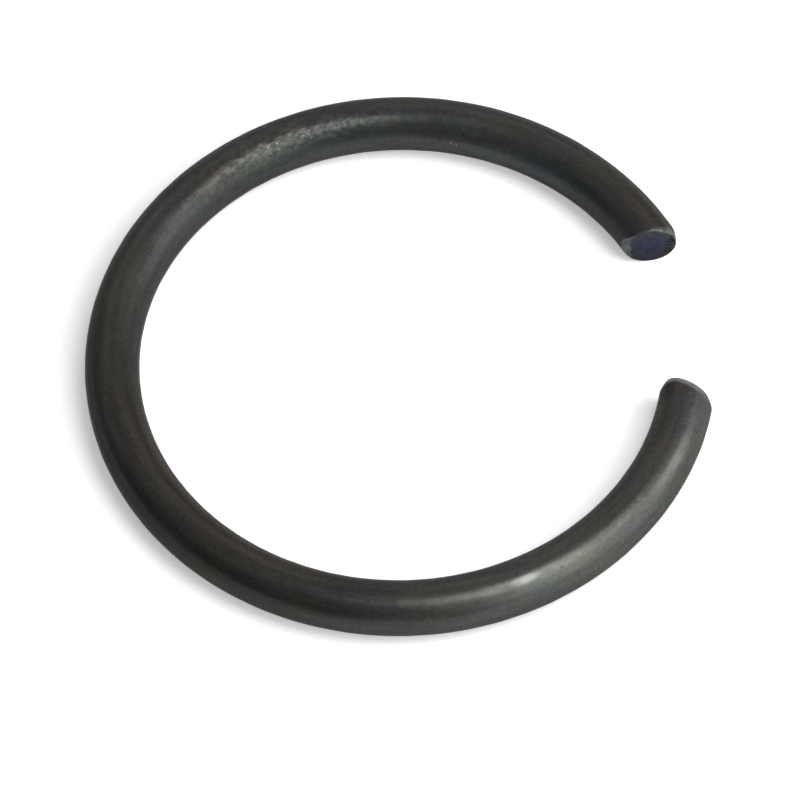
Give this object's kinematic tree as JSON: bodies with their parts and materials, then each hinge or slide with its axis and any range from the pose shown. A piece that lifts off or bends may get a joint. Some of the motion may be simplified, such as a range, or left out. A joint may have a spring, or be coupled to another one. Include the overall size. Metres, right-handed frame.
{
  "type": "circlip retaining ring",
  "caption": "Open C-shaped retaining ring of round spring wire, cropped askew at both ends, sprung into a half-round groove in a bore.",
  "frame": {"origin": "centre of the ring, in the plane of the wire's centre line", "axes": "+Z along the ring's axis, +X through the middle of the gap"},
  "size_m": [0.0448, 0.046, 0.004],
  "materials": {
    "black_spring_steel": "oiled black oxide, satin"
  },
  "bodies": {
    "root": {"retaining_ring": "black_spring_steel"}
  },
  "joints": []
}
